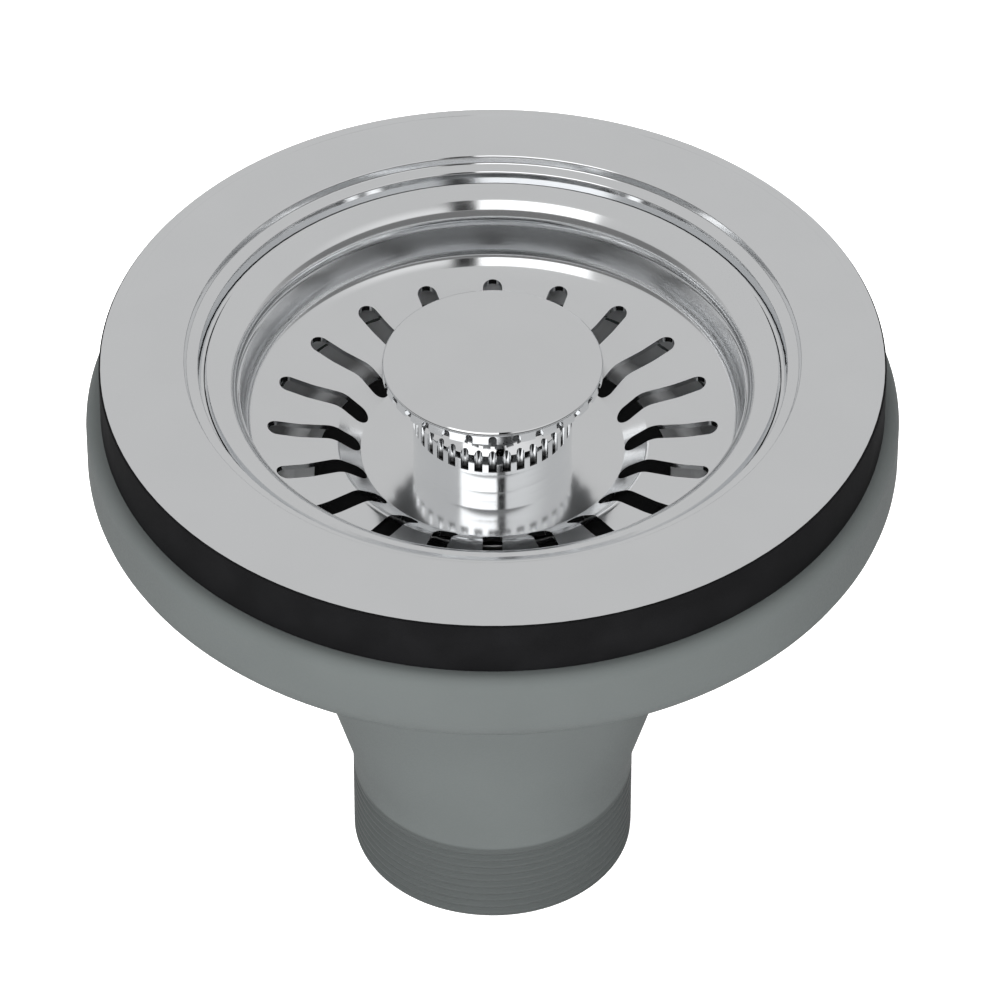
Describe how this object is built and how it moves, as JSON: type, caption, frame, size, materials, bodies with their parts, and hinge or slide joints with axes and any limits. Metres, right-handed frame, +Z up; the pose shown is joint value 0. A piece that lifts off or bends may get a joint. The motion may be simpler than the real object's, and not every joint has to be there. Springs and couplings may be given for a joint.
{
  "type": "basket strainer waste",
  "caption": "Sink basket strainer waste with a polished flange, a lift-out slotted basket with a knob, a rubber seal and a moulded body with a threaded tail.",
  "frame": {"origin": "centre of the tail's end face, on the waste's axis", "axes": "+Z up along the axis, from the tail's end to the flange"},
  "size_m": [0.1178, 0.1178, 0.0942],
  "materials": {
    "flange_steel": "polished",
    "basket_steel": "polished",
    "knob_chrome": "polished",
    "ring_rubber": "matte",
    "seal_rubber": "matte",
    "body_plastic": "satin",
    "insert_brass": "turned",
    "screw_steel": "plain",
    "stem_steel": "plain",
    "plate_steel": "plain"
  },
  "bodies": {
    "waste": {"waste_body": "body_plastic", "sink_flange": "flange_steel", "sealing_ring": "ring_rubber", "threaded_insert": "insert_brass", "centre_screw": "screw_steel", "head_washer": "screw_steel"},
    "plug": {"basket": "basket_steel", "knob": "knob_chrome", "plug_stem": "stem_steel", "upper_plate": "plate_steel", "basket_seal": "seal_rubber", "seal_retainer": "plate_steel", "lock_washer": "stem_steel", "stem_nut": "stem_steel", "snap_clip": "stem_steel"}
  },
  "joints": [
    {"name": "plug_lift", "type": "slide", "parent": "waste", "child": "plug", "axis": [0, 0, 1], "range_m": [0, 0.045]}
  ]
}
